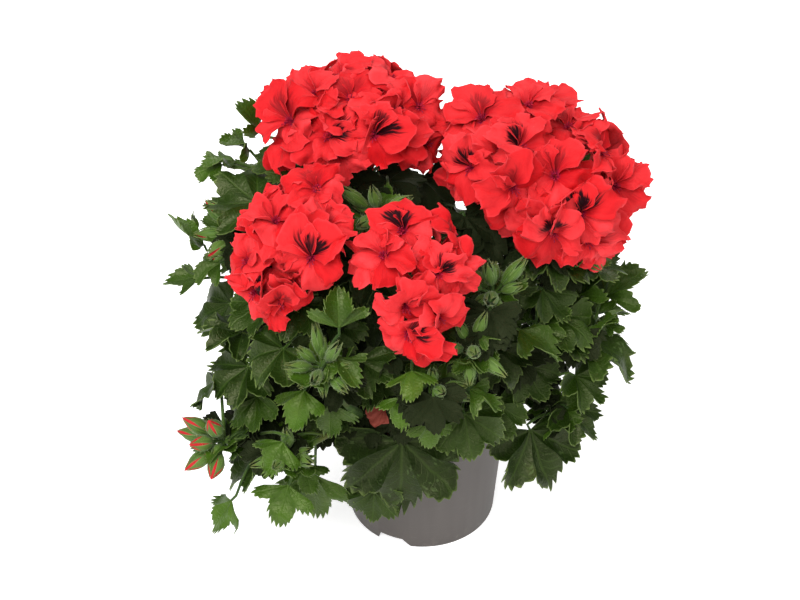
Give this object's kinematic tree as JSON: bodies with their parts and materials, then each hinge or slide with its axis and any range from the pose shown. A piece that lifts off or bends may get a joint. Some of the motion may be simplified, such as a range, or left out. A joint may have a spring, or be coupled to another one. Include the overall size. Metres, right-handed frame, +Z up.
{
  "type": "potted regal pelargonium",
  "caption": "Bushy regal pelargonium with ruffled scarlet flower heads, buds and scalloped leaves, growing in a tapered nursery pot.",
  "frame": {"origin": "middle of the pot's foot, on the surface it stands on", "axes": "+Z up along the pot's axis; the plant's best side looks along -Y; +X is to the viewer's right"},
  "size_m": [0.3027, 0.2607, 0.3277],
  "materials": {
    "pot": "taupe-grey moulded plastic, satin",
    "soil": "dark peat potting soil, rough",
    "leaf": "green leaves, stems and buds, soft sheen with fine hairs",
    "petal": "scarlet petals, velvety matte with dark feathered blotches"
  },
  "bodies": {
    "root": {"pot": "pot", "soil": "soil", "head_upper_left": "petal", "head_upper_right": "petal", "head_right": "petal", "head_left": "petal", "head_centre": "petal", "head_back_left": "petal", "head_back_right": "petal", "stem_front": "leaf", "stem_front_left": "leaf", "stem_front_right": "leaf", "stem_left_front": "leaf", "stem_right_front": "leaf", "stem_low_left": "leaf", "stem_left": "leaf", "stem_right": "leaf", "stem_left_back": "leaf", "stem_middle": "leaf", "stem_back_right": "leaf", "stem_back_left": "leaf"}
  },
  "joints": []
}
